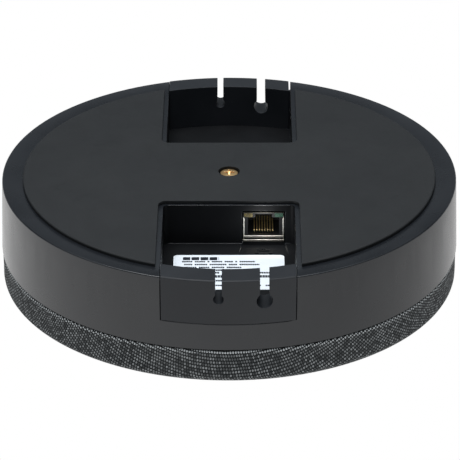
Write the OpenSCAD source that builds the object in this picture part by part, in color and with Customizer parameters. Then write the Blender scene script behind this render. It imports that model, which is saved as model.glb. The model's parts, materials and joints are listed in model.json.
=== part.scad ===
// Round table-top conference microphone: a shallow moulded housing with a
// fabric covered grille on top, and two cable pockets opening on its underside.
// It stands on its rubber pad at z = 0, and the network jack faces -Y.

/* [Housing] */
// Radius of the rim round the underside
rim_r = 88; // [84:0.5:112]
// How much the side wall flares from the rim to the seam
wall_flare = 1; // [0:0.1:3]
// Height of the side wall from the rim to the seam
wall_h = 27.9; // [25:0.1:40]
// Thickness of the side wall
wall_t = 2.6; // [2:0.1:3.4]
// Thickness of the bottom plate
plate_t = 2.2; // [1.6:0.1:3]
// Height of the rim edge above the table
rim_z = 0.7; // [0.3:0.1:1.2]

/* [Pad] */
// Thickness of the rubber pad
pad_t = 1.4; // [1.2:0.1:2.5]
// Width of the sloped ring between the pad and the rim
ring_w = 8; // [5:0.5:12]
// Width of the bare ledge left beside each pocket
ledge_w = 1.8; // [0.8:0.1:3]
// Width of the bare ledge at the inner end of each pocket
ledge_end = 1.0; // [0.4:0.1:3]
// Corner radius of the pad's cut-outs
pad_corner = 3.2; // [1:0.1:6]

/* [Pockets] */
// Width of each cable pocket
pocket_w = 50; // [40:0.5:62]
// Distance from the centre to each pocket's inner wall
pocket_y = 26.2; // [22:0.1:34]
// Depth of each pocket from the pad's seat
pocket_depth = 16.5; // [13.5:0.1:20]
// Thickness of the pocket walls
pocket_t = 2; // [1.5:0.1:3]

/* [Cable doors] */
// Thickness of a cable door from its inner face to the rim
door_t = 9.4; // [7.5:0.1:12]
// Gap on each side of a door
door_gap = 0.4; // [0.3:0.05:0.8]
// Diameter of the small cable hole
small_hole_d = 3.8; // [3:0.1:5]
// Width of the small slot
small_slot_w = 2.4; // [2:0.1:3]
// Diameter of the large cable hole
large_hole_d = 5.9; // [4.8:0.1:7.2]
// Width of the large slot
large_slot_w = 3.4; // [2.6:0.1:4.2]
// Distance from the table to where the slots meet the holes
slot_end_z = 6.1; // [5:0.1:7.5]
// Distance between the centres of the two cable holes
hole_spacing = 16.8; // [14:0.1:19]

/* [Network jack] */
// Distance from the pocket's side wall to the centre of the jack and of the large cable hole
jack_inset = 11.8; // [10.5:0.1:14]
// Width of the jack's metal shell
jack_w = 15.6; // [15:0.1:16.5]
// Height of the jack's metal shell
jack_h = 12.5; // [12:0.1:14]
// Depth of the jack's metal shell
jack_d = 20; // [17:0.5:21]

/* [Cover] */
// Height of the upright part of the fabric side
cover_side_h = 10.6; // [8:0.1:15]
// Height of the rounded fabric corner
corner_h = 4.4; // [3.5:0.1:8]
// Width of the rounded fabric corner
corner_w = 9; // [5:0.1:14]
// Thickness of the fabric
fabric_t = 1; // [0.6:0.1:1.5]
// Thickness of the frame's top grille
grille_t = 2; // [1.5:0.1:3]
// Number of grille ribs
rib_count = 24; // [12:4:36]

/* [Mute button] */
// Diameter of the button
button_d = 27.2; // [22:0.2:32]
// Travel of the button
button_travel = 0.6; // [0.3:0.05:1]

/* [Hidden] */
$fn = 72;
eps = 0.01;
fit_gap = 0.3;

// Colours
anthracite = [0.16, 0.165, 0.175];
rubber_grey = [0.12, 0.12, 0.125];
brass = [0.78, 0.6, 0.3];
steel = [0.72, 0.72, 0.72];
board_green = [0.08, 0.3, 0.16];
black = [0.05, 0.05, 0.05];

// Levels, all above the table
plate_top = pad_t + plate_t;
seam_z = rim_z + wall_h;
pocket_floor_z = pad_t + pocket_depth;
pocket_top = pocket_floor_z + pocket_t + 0.4;
rim_round = 0.5;

// Radii
seam_r = rim_r + wall_flare;
pad_r = rim_r - ring_w;
ring_in_r = pad_r + 0.4;
function wall_r(z) = rim_r + (z - rim_z) * wall_flare / wall_h;

// Points along an elliptical arc
function arc(cx, cy, rx, ry, a0, a1, n) =
    [for (i = [0:n]) let (a = a0 + (a1 - a0) * i / n) [cx + rx * cos(a), cy + ry * sin(a)]];

// Network jack
jack_x = jack_inset - pocket_w / 2;
jack_gap = 0.3;
jack_z = plate_top + 0.8;
jack_front_y = -pocket_y - 0.2;
jack_wall = 0.4;
cavity_w = 11.9;
cavity_h = 7.8;
cavity_d = 13;
cavity_z = jack_z + 2.3;
latch_w = 6.4;
contact_pitch = 1.016;
lamp_w = 3.2;
lamp_h = 1.7;

// Main board
board_z = jack_z + jack_h;
board_t = 1.6;
board_top = board_z + board_t;
board_gap = 0.8;
board_r = rim_r - wall_t - 5;
board_post_r = 3.5;
board_post_y = pocket_y + 18.8;
board_posts = [for (x = [-1, 1], y = [-1, 1]) [x * (rim_r - 33), y * board_post_y]];

// Housing posts
post_r = 4;
post_split_z = seam_z - 4.6;
housing_posts = [for (x = [-1, 1], y = [-1, 1]) [x * (rim_r - 22), y * 30]];
screw_r = 1.5;
head_r = 2.8;
head_seat_z = pad_t + 2.8;
long_screw_end = seam_z + 7;

// Centre screw and ballast
centre_head_r = 3.45;
centre_head_z = 1;
centre_seat_z = 3.2;
centre_shank_r = 1.75;
centre_boss_r = 7;
centre_boss_top = centre_seat_z + 2.2;
ballast_t = 3;
ballast_r = rim_r - 24;
rest_pads = [for (x = [-1, 1], y = [-1, 1]) [x * 45, y * 15]];

// Label
label_side = 4;

// Cable doors
door_in_r = rim_r - door_t;
door_w = pocket_w - 2 * door_gap;
door_z = rim_z - 0.2;
door_top = pocket_floor_z + 0.1;
door_wall = 1.8;
rear_door_shift = door_gap - 0.1;
prong_x = door_w / 2 - 3.35;
prong_w = 3.5;
prong_t = 2;
prong_h = 4.5;
prong_nib = 0.5;
prong_y = -sqrt(pow(rim_r - door_t / 2 - 0.3, 2) - pow(prong_x, 2));
small_hole = [jack_x + hole_spacing, small_hole_d, small_slot_w];
large_hole = [jack_x, large_hole_d, large_slot_w];

// Grille frame and cover
seam_ring_h = 0.6;
cover_z = seam_z + seam_ring_h;
side_top = cover_z + cover_side_h;
cover_top = side_top + corner_h;
cover_r = seam_r - 0.3;
frame_r = cover_r - fabric_t;
frame_top = cover_top - fabric_t;
grille_z = frame_top - grille_t;
tongue_r = seam_r - wall_t - fit_gap;
tongue_h = 2.5;
tongue_t = 1.6;
frame_t = 2;
flange_w = 1.5;
arc_steps = 8;
grille_rings = [[39.5, 42.5], [58.5, 62]];
ring_drop = 0.4;
hub_r = 22;

// Button, lamp ring and top board
button_r = button_d / 2;
lamp_in_r = button_r + 0.4;
lamp_out_r = lamp_in_r + 3;
lamp_flange_r = lamp_out_r + 2.5;
well_r = lamp_out_r + 0.2;
lamp_z = grille_z - 1;
button_z = lamp_z - 1.3;
button_top = cover_top + 0.6;
top_board_z = grille_z - 7;
top_board_t = 1.6;
top_board_top = top_board_z + top_board_t;
top_board_r = lamp_flange_r + 10;
boss_r = top_board_r - 5;
boss_angles = [30, 150, 270];
switch_h = 3.2;
plunger_r = 1.7;
plunger_top = top_board_top + switch_h + button_travel + 0.4;
plunger_h = 2;
socket_x = 8;
socket_h = 3;
slot_h = 2;
cable_w = 14;
cable_t = 0.6;

// Microphones
mic_r = 52;
mic_angles = [90, 210, 330];
capsule_r = 4.9;
capsule_h = 5;
boot_r = 7;
boot_h = 7.9;
cup_t = 1.5;
lead_r = 0.7;

// Tube between two heights
module tube(r_out, r_in, z0, z1) {
    translate([0, 0, z0]) difference() {
        cylinder(r = r_out, h = z1 - z0);
        translate([0, 0, -1]) cylinder(r = r_in, h = z1 - z0 + 2);
    }
}

// Solid round between two heights
module rod(r, z0, z1) {
    translate([0, 0, z0]) cylinder(r = r, h = z1 - z0);
}

// Rectangle with round corners, centred
module round_rect(w, h, r) {
    square([w - 2 * r, h], center = true);
    square([w, h - 2 * r], center = true);
    for (x = [-1, 1], y = [-1, 1]) {
        translate([x * (w / 2 - r), y * (h / 2 - r)]) circle(r = r);
    }
}

// Box between two corners
module box(low, high) {
    translate(low) cube(high - low);
}

// Outline of the housing seen in half section, filled to the axis
module housing_outline() {
    polygon(concat(
        [[0, pad_t], [ring_in_r, pad_t]],
        arc(rim_r - rim_round, rim_z + rim_round, rim_round, rim_round, -90, 0, 5),
        [[seam_r, seam_z], [0, seam_z]]
    ));
}

// Inside of the housing in half section
module housing_inside() {
    corner = 3;
    inner = wall_r(plate_top + corner) - wall_t;
    polygon(concat(
        [[0, plate_top]],
        arc(inner - corner, plate_top + corner, corner, corner, -90, 0, 6),
        [[seam_r - wall_t, seam_z + 1], [0, seam_z + 1]]
    ));
}

// Pocket plan: straight sides and small round corners at the inner end
module pocket_plan(grow, corner) {
    length = rim_r;
    translate([0, -pocket_y + grow - length / 2]) round_rect(pocket_w + 2 * grow, length, corner);
}

// Space of one pocket and of the notch that its door fills
module pocket_space() {
    translate([0, 0, -1]) linear_extrude(pocket_floor_z + 1) intersection() {
        pocket_plan(0, 1.8);
        circle(r = door_in_r - fit_gap + eps);
    }
    intersection() {
        tube(seam_r + 5, door_in_r - fit_gap, -1, door_top + fit_gap);
        box([-pocket_w / 2, -seam_r - 6, -2], [pocket_w / 2, -pocket_y - 10, pocket_top]);
    }
}

// Block that carries the walls and floor of one pocket
module pocket_block() {
    intersection() {
        translate([0, 0, pad_t - 1]) linear_extrude(pocket_top - pad_t + 1) pocket_plan(pocket_t, 2.5);
        rotate_extrude() housing_outline();
    }
}

// Openings in the pocket's floor for a door's two prongs
module prong_slots() {
    for (s = [-1, 1]) {
        box(
            [s * prong_x - prong_w / 2 - fit_gap, prong_y - prong_t / 2 - prong_nib - fit_gap, door_top - 1],
            [s * prong_x + prong_w / 2 + fit_gap, prong_y + prong_t / 2 + fit_gap, pocket_top + 1]
        );
    }
}

// Relief in the pocket's floor in front of the jack
module plug_relief() {
    depth = 0.6;
    near = jack_w / 2 + 0.3;
    far = near + 1.5;
    translate([jack_x, -pocket_y, pocket_floor_z - 1]) linear_extrude(1 + depth)
        polygon([[-near, 0.1], [near, 0.1], [far, -9.6], [-far, -9.6]]);
}

// Plain raised sign of three linked boxes, for a wired network
module network_sign() {
    size = 1.5;
    height = 0.3;
    z = pocket_floor_z + 0.6 - height;
    translate([jack_x, -pocket_y - 5, z]) {
        for (p = [[0, 1.6], [-2.6, -1.6], [2.6, -1.6]]) {
            translate([p[0] - size / 2, p[1] - size / 2, 0]) cube([size, size, height + eps]);
        }
        translate([-0.15, -0.2, 0]) cube([0.3, 1.2, height + eps]);
        translate([-2.75, -0.35, 0]) cube([5.5, 0.3, height + eps]);
        for (x = [-2.75, 2.45]) {
            translate([x, -1, 0]) cube([0.3, 0.8, height + eps]);
        }
    }
}

// Ribs that tie each post to the side wall
module wall_ribs() {
    for (p = housing_posts) {
        angle = atan2(p[1], p[0]);
        r = norm(p);
        rotate([0, 0, angle]) box([r, -0.9, plate_top - eps], [rim_r - wall_t + 0.3, 0.9, board_z - 0.5]);
    }
}

module base_shell() {
    color(anthracite) {
        difference() {
            union() {
                difference() {
                    rotate_extrude() housing_outline();
                    rotate_extrude() housing_inside();
                }
                for (a = [0, 180]) {
                    rotate([0, 0, a]) pocket_block();
                }
                for (p = board_posts) {
                    translate(p) rod(board_post_r, plate_top - eps, board_z);
                }
                for (p = housing_posts) {
                    translate(p) rod(post_r, plate_top - eps, post_split_z);
                }
                for (p = rest_pads) {
                    translate(p) rod(4, plate_top - eps, centre_boss_top);
                }
                rod(centre_boss_r, plate_top - eps, centre_boss_top);
                wall_ribs();
            }
            for (a = [0, 180]) {
                rotate([0, 0, a]) {
                    pocket_space();
                    prong_slots();
                }
            }
            plug_relief();
            box(
                [jack_x - jack_w / 2 - 0.2, -pocket_y - 1, jack_z - 0.2],
                [jack_x + jack_w / 2 + 0.2, -pocket_y + pocket_t + 1, board_z + 0.2]
            );
            for (p = board_posts) {
                translate(p) rod(1.25, board_z - 8, board_z + 1);
            }
            for (p = housing_posts) {
                translate(p) {
                    rod(screw_r + 0.2, 0, post_split_z + 1);
                    rod(head_r + 0.2, 0, head_seat_z);
                }
            }
            box(
                [jack_x - jack_w / 2 - jack_gap, jack_front_y, jack_z - jack_gap],
                [jack_x + jack_w / 2 + jack_gap, jack_front_y + jack_d + jack_gap, board_z]
            );
            rod(centre_head_r + 0.6, 0, centre_seat_z);
            rod(centre_shank_r + 0.2, 0, centre_boss_top + 1);
        }
        network_sign();
    }
}

module rubber_pad() {
    edge = 0.35;
    color(rubber_grey) difference() {
        rotate_extrude() polygon([
            [0, 0], [pad_r - edge, 0], [pad_r, edge], [pad_r, pad_t], [0, pad_t]
        ]);
        for (a = [0, 180]) {
            rotate([0, 0, a]) translate([0, 0, -1]) linear_extrude(pad_t + 2)
                translate([0, -pocket_y + ledge_end - rim_r / 2])
                    round_rect(pocket_w + 2 * ledge_w, rim_r, pad_corner);
        }
        rod(centre_head_r + 0.7, -1, pad_t + 1);
    }
}

// Screw with a domed head and a cross recess, head down
module cross_screw(head_r, head_h, shank_r, shank_h, recess) {
    difference() {
        union() {
            rotate_extrude() polygon(concat(
                [[0, 0]],
                arc(head_r - head_h * 0.6, head_h * 0.6, head_h * 0.6, head_h * 0.6, -90, 0, 5),
                [[head_r, head_h], [0, head_h]]
            ));
            rod(shank_r, head_h - eps, head_h + shank_h);
        }
        for (a = [0, 90]) {
            rotate([0, 0, a]) box([-recess, -recess * 0.22, -1], [recess, recess * 0.22, head_h * 0.6]);
        }
    }
}

module centre_screw() {
    color(brass) translate([0, 0, centre_head_z])
        cross_screw(centre_head_r, centre_seat_z - centre_head_z, centre_shank_r, 8, 1.9);
}

module centre_insert() {
    color(brass) difference() {
        union() {
            rod(3.2, centre_boss_top, centre_boss_top + 6.2);
            rod(4.6, centre_boss_top + ballast_t, centre_boss_top + ballast_t + 1);
        }
        rod(centre_shank_r, centre_boss_top - 1, centre_boss_top + 7);
    }
}

// Keyhole through a door: a round cable hole with a slot to its free edge
module keyhole(hole) {
    z = slot_end_z + hole[1] / 2;
    translate([hole[0], -seam_r - 5, z]) rotate([-90, 0, 0]) cylinder(d = hole[1], h = door_t + 30);
    box([hole[0] - hole[2] / 2, -seam_r - 5, -1], [hole[0] + hole[2] / 2, -door_in_r + 25, z]);
}

// Hollow cells in a door's hidden face, between the cable holes
module door_cells() {
    edges = [
        -door_w / 2 + door_wall,
        large_hole[0] - large_hole[1] / 2 - door_wall,
        large_hole[0] + large_hole[1] / 2 + door_wall,
        small_hole[0] - small_hole[1] / 2 - door_wall,
        small_hole[0] + small_hole[1] / 2 + door_wall,
        door_w / 2 - door_wall
    ];
    for (i = [0:2:4]) {
        intersection() {
            tube(rim_r - door_wall - 0.2, door_in_r + door_wall, door_z + 2, door_top + 1);
            box([edges[i], -rim_r, 0], [edges[i + 1], -door_in_r / 2, door_top + 2]);
        }
    }
}

// Door whose outer face carries on the flare of the side wall
module cable_door() {
    edge = 0.4;
    difference() {
        intersection() {
            rotate_extrude() polygon([
                [door_in_r, door_z], [rim_r - edge, door_z], [rim_r, door_z + edge],
                [wall_r(door_top), door_top], [door_in_r, door_top]
            ]);
            box([-door_w / 2, -seam_r - 5, 0], [door_w / 2, -door_in_r / 2, door_top + 1]);
        }
        keyhole(small_hole);
        keyhole(large_hole);
        door_cells();
    }
    for (s = [-1, 1]) {
        x = s * prong_x;
        box([x - prong_w / 2, prong_y - prong_t / 2, door_z + 1.5], [x + prong_w / 2, prong_y + prong_t / 2, door_top + prong_h]);
        translate([x - prong_w / 2, prong_y - prong_t / 2, door_top + prong_h]) rotate([0, 90, 0])
            linear_extrude(prong_w) polygon([[0, eps], [0, 0], [0.9, -prong_nib], [1.8, 0], [1.8, eps]]);
    }
}

module cable_door_front() {
    color(anthracite) cable_door();
}

// The rear door is the front one mirrored, so both keep their large hole at the jack's side
module cable_door_rear() {
    color(anthracite) translate([rear_door_shift, 0, 0]) mirror([0, 1, 0]) cable_door();
}

module rating_label() {
    width = pocket_w - 2 * label_side;
    height = 27;
    color([0.88, 0.9, 0.92]) translate([0, -pocket_y - 9.8 - height / 2, pocket_floor_z - 0.2])
        linear_extrude(0.2) round_rect(width, height, 1.6);
}

module jack_shell() {
    w = jack_w / 2;
    color(steel) translate([jack_x, jack_front_y, jack_z]) {
        difference() {
            box([-w, 0, 0], [w, jack_d, jack_h]);
            box([-w + jack_wall, -1, jack_wall], [w - jack_wall, jack_d - jack_wall, jack_h - jack_wall]);
            box([-w - 1, 6, 4], [w + 1, 9, 7]);
        }
        for (x = [-w + 1.4, w - 1.4], y = [6, 14]) {
            translate([x, y, 0]) rod(0.6, jack_h - eps, jack_h + board_t + 0.8);
        }
    }
}

module jack_insert() {
    w = jack_w / 2 - jack_wall;
    color(black) translate([jack_x, jack_front_y, 0]) difference() {
        box([-w, 0.2, jack_z + jack_wall], [w, jack_d - jack_wall - 0.1, jack_z + jack_h - jack_wall]);
        box([-cavity_w / 2, -1, cavity_z], [cavity_w / 2, cavity_d, cavity_z + cavity_h]);
        box([-latch_w / 2, -1, jack_z + 0.9], [latch_w / 2, cavity_d - 3, cavity_z + 1]);
        for (s = [-1, 1]) {
            x = s * (w - lamp_w / 2);
            box([x - lamp_w / 2, -1, jack_z + jack_wall - 1], [x + lamp_w / 2, 6, jack_z + jack_wall + lamp_h]);
        }
        for (i = [0:7]) {
            x = (i - 3.5) * contact_pitch;
            box([x - 0.3, 2.2, cavity_z + 5], [x + 0.3, cavity_d + 1, cavity_z + cavity_h + 0.9]);
        }
    }
}

// Eight sprung wires, each bent near the jack's mouth
module jack_contacts() {
    bend = [3.6, cavity_z + cavity_h - 0.9];
    tail = [11, cavity_z + 4.9];
    slope = atan2(tail[1] - bend[1], tail[0] - bend[0]);
    color([0.85, 0.68, 0.3]) for (i = [0:7]) {
        x = jack_x + (i - 3.5) * contact_pitch;
        translate([x, jack_front_y + bend[0], bend[1]]) {
            sphere(r = 0.23, $fn = 24);
            rotate([slope - 90, 0, 0]) cylinder(r = 0.23, h = norm(tail - bend), $fn = 24);
            rotate([-90, 0, 0]) translate([0, -0.55, 0]) cylinder(r = 0.23, h = 10.4, $fn = 24);
            cylinder(r = 0.23, h = 0.55, $fn = 24);
        }
    }
}

// Small lamp in a corner of the jack's face
module jack_lamp(side) {
    w = jack_w / 2 - jack_wall;
    x = jack_x + side * (w - lamp_w / 2);
    box(
        [x - lamp_w / 2, jack_front_y + 0.1, jack_z + jack_wall],
        [x + lamp_w / 2, jack_front_y + 5.9, jack_z + jack_wall + lamp_h]
    );
}

module jack_lamp_yellow() {
    color([0.75, 0.65, 0.15]) jack_lamp(1);
}

module jack_lamp_green() {
    color([0.15, 0.5, 0.3]) jack_lamp(-1);
}

module main_board() {
    side = pocket_w / 2 + pocket_t + board_gap;
    inner = pocket_y - pocket_t - board_gap;
    color(board_green) translate([0, 0, board_z]) linear_extrude(board_t) difference() {
        circle(r = board_r);
        for (s = [-1, 1]) {
            translate([-side, s > 0 ? inner : -inner - rim_r]) square([2 * side, rim_r]);
        }
        for (p = housing_posts) {
            translate(p) circle(r = post_r + 0.6);
        }
        for (p = board_posts) {
            translate(p) circle(r = 1.6);
        }
        for (x = [-1, 1], y = [6, 14]) {
            translate([jack_x + x * (jack_w / 2 - 1.4), jack_front_y + y]) circle(r = 0.7);
        }
        circle(r = 6);
    }
}

module board_screws() {
    color(steel) for (p = board_posts) {
        translate([p[0], p[1], board_top + 1.8]) mirror([0, 0, 1]) cross_screw(2.7, 1.8, 1.25, 7, 1.4);
    }
}

module screening_can() {
    color(steel) translate([rim_r / 2 + 2, 0, board_top]) difference() {
        linear_extrude(3.2) round_rect(34, 28, 1.5);
        translate([0, 0, -1]) linear_extrude(3.9) round_rect(33.4, 27.4, 1.2);
    }
}

module board_chips() {
    places = [[-36, -12, 12, 12], [-36, 8, 8, 8], [-56, 0, 10, 6], [-22, 12, 6, 5], [-22, -2, 5, 5]];
    color(black) for (p = places) {
        translate([p[0], p[1], board_top]) linear_extrude(1.2) square([p[2], p[3]], center = true);
    }
}

module power_transformer() {
    color([0.2, 0.2, 0.2]) translate([jack_x, 14, board_z]) mirror([0, 0, 1]) difference() {
        linear_extrude(6) round_rect(16, 10, 1);
        translate([0, 0, 5.6]) linear_extrude(1) round_rect(12, 6, 0.8);
    }
}

module capacitors() {
    color([0.3, 0.3, 0.55]) for (p = [[-60, -14], [-60, 14], [-68, 0]]) {
        translate([p[0], p[1], board_top]) {
            rod(3.1, 0, 6.8);
            rod(2.6, 6.8 - eps, 7.2);
        }
    }
}

// Socket body with a slot for the flat cable
module socket(z, slot_z) {
    half = cable_t / 2 + 0.05;
    difference() {
        box([socket_x - 2.5, -cable_w / 2 - 2, z], [socket_x + 2.5, cable_w / 2 + 2, z + socket_h]);
        box([socket_x - half, -cable_w / 2 - 0.1, slot_z], [socket_x + half, cable_w / 2 + 0.1, slot_z + slot_h + 1]);
    }
}

module lower_socket() {
    color([0.9, 0.88, 0.8]) socket(board_top, board_top + socket_h - slot_h);
}

module upper_socket() {
    color([0.9, 0.88, 0.8]) socket(top_board_z - socket_h, top_board_z - socket_h - 1);
}

// Flat cable between the two boards, straight in its sockets and bowed between them
module flat_cable() {
    low = board_top + socket_h - slot_h;
    high = top_board_z - socket_h + slot_h;
    steps = 16;
    bulge = 4;
    bow_low = low + slot_h + 0.2;
    bow_h = high - slot_h - 0.2 - bow_low;
    bow = [for (i = [0:steps]) let (t = i / steps)
        [socket_x + bulge * pow(sin(180 * t), 2), bow_low + bow_h * t]];
    side = concat([[socket_x, low]], bow, [[socket_x, high]]);
    color([0.85, 0.85, 0.83]) rotate([90, 0, 0]) translate([0, 0, -cable_w / 2]) linear_extrude(cable_w)
        polygon(concat(
            [for (p = side) p + [cable_t / 2, 0]],
            [for (i = [len(side) - 1:-1:0]) side[i] - [cable_t / 2, 0]]
        ));
}

module top_board() {
    color(board_green) difference() {
        rod(top_board_r, top_board_z, top_board_top);
        for (a = boss_angles) {
            rotate([0, 0, a]) translate([boss_r, 0, 0]) rod(1.4, top_board_z - 1, top_board_top + 1);
        }
        for (a = mic_angles) {
            rotate([0, 0, a]) translate([top_board_r - 2, 0, 0]) rod(lead_r + 0.2, top_board_z - 1, top_board_top + 1);
        }
    }
}

module top_board_screws() {
    color(steel) for (a = boss_angles) {
        rotate([0, 0, a]) translate([boss_r, 0, top_board_z - 1.6]) cross_screw(2.3, 1.6, 1.1, 5.6, 1.2);
    }
}

module status_lamps() {
    color([0.95, 0.95, 0.9]) for (i = [0:11]) {
        rotate([0, 0, i * 30]) translate([(lamp_in_r + lamp_out_r) / 2, 0, top_board_top])
            linear_extrude(0.9) square([1.4, 2.6], center = true);
    }
}

module switch_body() {
    color(black) difference() {
        box([-3, -3, top_board_top], [3, 3, top_board_top + switch_h]);
        rod(plunger_r + fit_gap, plunger_top - plunger_h - button_travel - 0.2, top_board_top + switch_h + 1);
    }
}

module switch_plunger() {
    color([0.85, 0.85, 0.85]) rod(plunger_r, plunger_top - plunger_h, plunger_top);
}

// Round button with a dished top, a retaining flange and a stem to the switch
module mute_button() {
    dish = 0.5;
    skin = 1.6;
    flange = 1.8;
    color([0.13, 0.13, 0.14]) {
        rotate_extrude() polygon(concat(
            [[button_r - 1.6, button_z], [button_r + flange, button_z], [button_r + flange, button_z + 1]],
            [[button_r, button_z + 1]],
            arc(button_r - 0.5, button_top - 0.5, 0.5, 0.5, 0, 90, 4),
            [for (i = [6:-1:0]) let (r = (button_r - 3) * i / 6)
                [r, button_top - dish * (1 + cos(180 * i / 6)) / 2]],
            [[0, button_top - dish - skin], [button_r - 1.6, button_top - dish - skin]]
        ));
        rod(2, plunger_top, button_top - dish - skin + eps);
        for (a = [0, 60, 120]) {
            rotate([0, 0, a]) box([-button_r + 1.6 - eps, -0.5, button_z + 2], [button_r - 1.6 + eps, 0.5, button_top - dish - skin + eps]);
        }
    }
}

module light_ring() {
    color([0.85, 0.87, 0.88]) rotate_extrude() polygon([
        [lamp_in_r, lamp_z], [lamp_flange_r, lamp_z], [lamp_flange_r, grille_z], [lamp_out_r, grille_z],
        [lamp_out_r, cover_top - 0.3], [lamp_out_r - 0.3, cover_top], [lamp_in_r + 0.3, cover_top],
        [lamp_in_r, cover_top - 0.3]
    ]);
}

// Puts its children at each microphone
module at_mics() {
    for (a = mic_angles) {
        rotate([0, 0, a]) translate([mic_r, 0, 0]) children();
    }
}

module mic_capsules() {
    color([0.75, 0.75, 0.74]) at_mics() difference() {
        rod(capsule_r, grille_z - 0.2 - capsule_h, grille_z - 0.2);
        for (a = [0:60:300]) {
            rotate([0, 0, a]) translate([2.4, 0, 0]) rod(0.5, grille_z - 0.8, grille_z);
        }
    }
}

module mic_boots() {
    color(black) at_mics() difference() {
        rod(boot_r, grille_z - boot_h, grille_z);
        rod(capsule_r, grille_z - 0.2 - capsule_h, grille_z + 1);
        rod(lead_r + 0.1, grille_z - boot_h - 1, grille_z - capsule_h);
    }
}

// Lead from each capsule to the edge of the top board
module capsule_leads() {
    z_low = grille_z - boot_h - 1.2;
    inner = top_board_r - 2;
    color([0.6, 0.1, 0.1]) for (a = mic_angles) {
        rotate([0, 0, a]) {
            translate([mic_r, 0, 0]) rod(lead_r, z_low, grille_z - 0.2 - capsule_h);
            translate([inner, 0, 0]) rod(lead_r, z_low, top_board_top + 0.5);
            for (x = [mic_r, inner]) {
                translate([x, 0, z_low]) sphere(r = lead_r, $fn = 24);
            }
            translate([inner, 0, z_low]) rotate([0, 90, 0]) cylinder(r = lead_r, h = mic_r - inner);
        }
    }
}

// Side wall, rounded corner and tongue of the grille frame in half section
module frame_outline() {
    inner_r = frame_r - frame_t;
    cw = corner_w - fabric_t;
    ch = corner_h - fabric_t;
    flange_r = inner_r - cw - flange_w;
    polygon(concat(
        [[tongue_r - tongue_t, seam_z - tongue_h], [tongue_r, seam_z - tongue_h], [tongue_r, cover_z]],
        [[frame_r, cover_z]],
        arc(frame_r - cw, frame_top - ch, cw, ch, 0, 90, arc_steps),
        [[flange_r, frame_top], [flange_r, grille_z]],
        arc(inner_r - cw, grille_z - ch, cw, ch, 90, 0, arc_steps),
        [[inner_r, cover_z + 3], [tongue_r - tongue_t, cover_z + 1]]
    ));
}

// Open grille of rings and ribs inside the frame's corner
module grille() {
    edge = frame_r - frame_t - corner_w + fabric_t;
    tube(hub_r, well_r, grille_z, frame_top);
    for (ring = grille_rings) {
        tube(ring[1], ring[0], grille_z - ring_drop, frame_top);
    }
    for (i = [0:rib_count - 1]) {
        rotate([0, 0, i * 360 / rib_count]) box([hub_r - 1, -0.9, grille_z], [edge, 0.9, frame_top]);
    }
    for (p = housing_posts) {
        translate(p) rod(post_r + 2, grille_z, frame_top);
    }
}

module grille_frame() {
    window_w = 8;
    color(black) difference() {
        union() {
            rotate_extrude() frame_outline();
            grille();
            for (p = housing_posts) {
                translate(p) rod(post_r, post_split_z, grille_z + eps);
            }
            at_mics() tube(boot_r + cup_t, boot_r, grille_z - 5, frame_top);
            for (a = boss_angles) {
                rotate([0, 0, a]) {
                    translate([boss_r, 0, 0]) rod(3, top_board_top, frame_top);
                    box([hub_r - 1, -1.5, grille_z - 2], [boss_r, 1.5, frame_top]);
                }
            }
        }
        for (i = [0:rib_count - 1]) {
            rotate([0, 0, (i + 0.5) * 360 / rib_count])
                box([tongue_r - 6, -window_w / 2, cover_z + 3], [seam_r, window_w / 2, side_top - 2.5]);
        }
        for (p = housing_posts) {
            translate(p) rod(screw_r, post_split_z - 1, long_screw_end + 1);
        }
        for (a = boss_angles) {
            rotate([0, 0, a]) translate([boss_r, 0, 0]) rod(1.1, top_board_top - 1, top_board_top + 4.4);
        }
        at_mics() rod(boot_r, grille_z - 6, grille_z);
    }
}

module fabric_cover() {
    cw = corner_w - fabric_t;
    ch = corner_h - fabric_t;
    color([0.2, 0.2, 0.21]) rotate_extrude() polygon(concat(
        [[frame_r, cover_z], [cover_r, cover_z]],
        arc(cover_r - corner_w, cover_top - corner_h, corner_w, corner_h, 0, 90, arc_steps),
        [[well_r, cover_top], [well_r, frame_top]],
        arc(frame_r - cw, frame_top - ch, cw, ch, 90, 0, arc_steps)
    ));
}

module seam_ring() {
    color(black) tube(seam_r - 0.7, tongue_r, seam_z, cover_z);
}

module ballast_plate() {
    side = pocket_w / 2 + pocket_t + 1;
    inner = pocket_y - pocket_t - 1;
    color([0.45, 0.45, 0.47]) translate([0, 0, centre_boss_top]) linear_extrude(ballast_t) difference() {
        circle(r = ballast_r);
        for (s = [-1, 1]) {
            translate([-side, s > 0 ? inner : -inner - rim_r]) square([2 * side, rim_r]);
        }
        translate([jack_x - jack_w / 2 - 1, -rim_r]) square([jack_w + 2, rim_r + jack_front_y + jack_d + 1]);
        circle(r = 3.2);
    }
}

module housing_screws() {
    color(steel) for (p = housing_posts) {
        translate([p[0], p[1], head_seat_z - 2]) cross_screw(head_r, 2, screw_r, long_screw_end - head_seat_z, 1.4);
    }
}

base_shell();
rubber_pad();
centre_screw();
centre_insert();
cable_door_front();
cable_door_rear();
rating_label();
jack_shell();
jack_insert();
jack_contacts();
jack_lamp_yellow();
jack_lamp_green();
main_board();
board_screws();
screening_can();
board_chips();
power_transformer();
capacitors();
lower_socket();
flat_cable();
upper_socket();
top_board();
top_board_screws();
status_lamps();
switch_body();
switch_plunger();
mute_button();
light_ring();
mic_capsules();
mic_boots();
capsule_leads();
grille_frame();
fabric_cover();
seam_ring();
ballast_plate();
housing_screws();
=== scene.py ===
"""Round table microphone, shown upside down on its fabric face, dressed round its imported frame."""

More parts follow.
